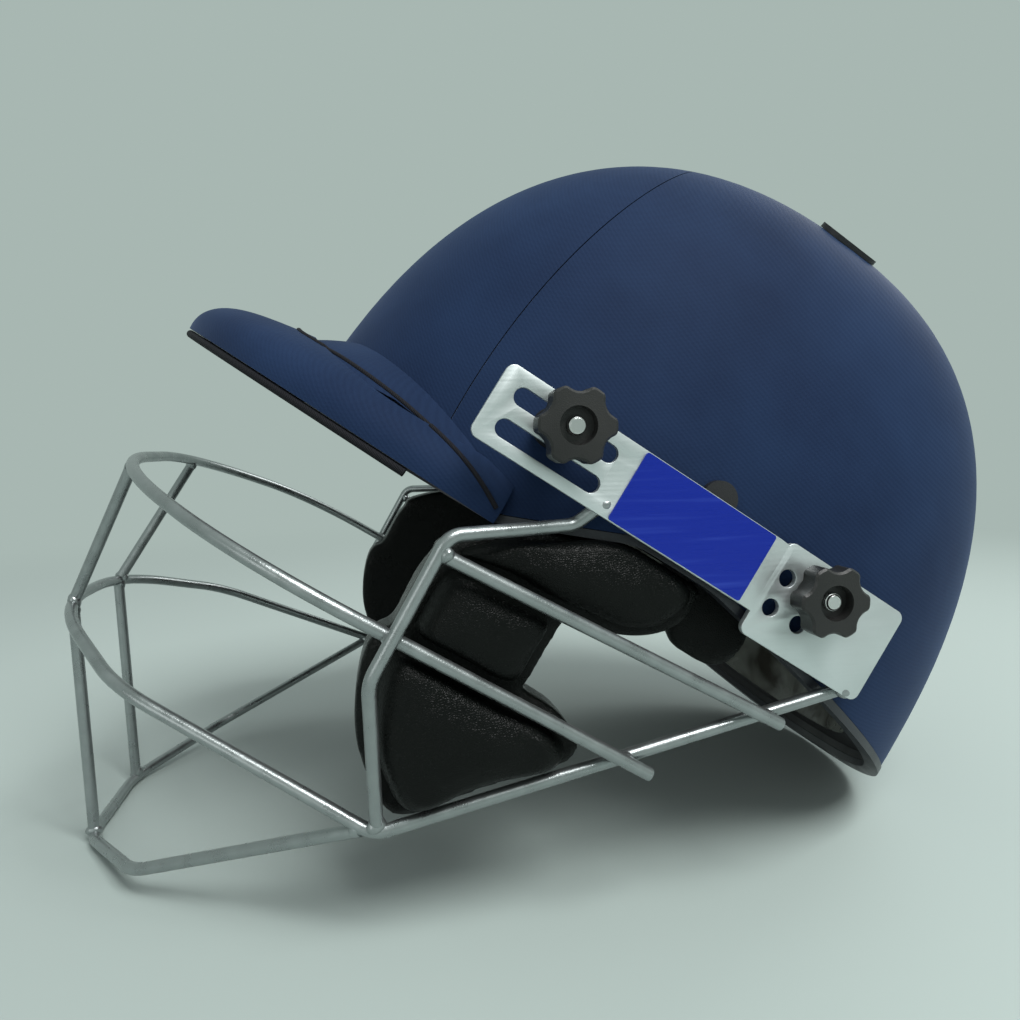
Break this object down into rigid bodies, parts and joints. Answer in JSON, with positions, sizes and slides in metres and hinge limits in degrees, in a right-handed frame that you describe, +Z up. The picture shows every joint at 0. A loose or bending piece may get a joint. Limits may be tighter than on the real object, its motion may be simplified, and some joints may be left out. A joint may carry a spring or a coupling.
{
  "type": "cricket helmet",
  "caption": "Cloth covered hard helmet with a padded peak and a welded wire face guard, bolted on through flat steel side plates with star knobs.",
  "frame": {"origin": "on the floor under the middle of the helmet's box, on the middle plane", "axes": "+X to the wearer's left, +Y to the back of the helmet, +Z up, with the helmet standing nose up on the guard's foot and the nape"},
  "size_m": [0.2408, 0.343, 0.2404],
  "materials": {
    "cover_cloth": "navy woven cloth stretched over the shell",
    "shell_plastic": "black moulded plastic",
    "edge_trim": "dark moulded rim edging",
    "foam": "dark grey foam liner",
    "lining_sheet": "grey brown glossy sheet lining",
    "pad_leather": "black grained leather cloth",
    "piping_cloth": "black corded piping",
    "wire_paint": "satin grey paint",
    "plate_steel": "satin steel",
    "label_film": "plain royal blue film",
    "black_plastic": "black moulded plastic",
    "bolt_steel": "bright zinc plated steel",
    "washer_rubber": "black rubber",
    "knob_plastic": "black moulded plastic"
  },
  "bodies": {
    "helmet": {"bottom_bar": "wire_paint", "brow_band": "cover_cloth", "brow_pad": "pad_leather", "cheek_bar_left": "wire_paint", "cheek_bar_right": "wire_paint", "cheek_base_left": "pad_leather", "cheek_base_right": "pad_leather", "cover_front": "cover_cloth", "cover_rear": "cover_cloth", "crown_pad": "pad_leather", "front_bolt_left": "bolt_steel", "front_bolt_right": "bolt_steel", "front_liner": "foam", "front_spacer_left": "washer_rubber", "front_spacer_right": "washer_rubber", "front_washer_left": "washer_rubber", "front_washer_right": "washer_rubber", "label_plate_left": "label_film", "label_plate_right": "label_film", "lower_cheek_pad_left": "pad_leather", "lower_cheek_pad_right": "pad_leather", "lower_strut_left": "wire_paint", "lower_strut_right": "wire_paint", "middle_bar": "wire_paint", "middle_cheek_pad_left": "pad_leather", "middle_cheek_pad_right": "pad_leather", "nape_pad": "pad_leather", "peak_board": "shell_plastic", "peak_cover": "cover_cloth", "peak_piping": "piping_cloth", "rear_bolt_left": "bolt_steel", "rear_bolt_right": "bolt_steel", "rear_liner": "foam", "rear_lining": "lining_sheet", "rear_spacer_left": "washer_rubber", "rear_spacer_right": "washer_rubber", "rear_washer_left": "washer_rubber", "rear_washer_right": "washer_rubber", "rim_binding": "edge_trim", "shell": "shell_plastic", "side_frame_left": "wire_paint", "side_frame_right": "wire_paint", "side_pad_left": "pad_leather", "side_pad_right": "pad_leather", "side_plate_left": "plate_steel", "side_plate_right": "plate_steel", "strap_stud_left": "black_plastic", "strap_stud_right": "black_plastic", "top_bar": "wire_paint", "upper_cheek_pad_left": "pad_leather", "upper_cheek_pad_right": "pad_leather", "upper_strut_left": "wire_paint", "upper_strut_right": "wire_paint", "vent_eyelet_left": "black_plastic", "vent_eyelet_right": "black_plastic"},
    "front_knob_left": {"front_knob_left": "knob_plastic"},
    "rear_knob_left": {"rear_knob_left": "knob_plastic"},
    "front_knob_right": {"front_knob_right": "knob_plastic"},
    "rear_knob_right": {"rear_knob_right": "knob_plastic"}
  },
  "joints": [
    {"name": "front_left_turn", "type": "hinge", "parent": "helmet", "child": "front_knob_left", "pos_m": [0.11, -0.01481, 0.14033], "axis": [1, 0, 0], "range_deg": [0, 1080]},
    {"name": "rear_left_turn", "type": "hinge", "parent": "helmet", "child": "rear_knob_left", "pos_m": [0.11, 0.05712, 0.09152], "axis": [1, 0, 0], "range_deg": [0, 1080]},
    {"name": "front_right_turn", "type": "hinge", "parent": "helmet", "child": "front_knob_right", "pos_m": [-0.11, -0.01481, 0.14033], "axis": [-1, 0, 0], "range_deg": [0, 1080]},
    {"name": "rear_right_turn", "type": "hinge", "parent": "helmet", "child": "rear_knob_right", "pos_m": [-0.11, 0.05712, 0.09152], "axis": [-1, 0, 0], "range_deg": [0, 1080]}
  ]
}
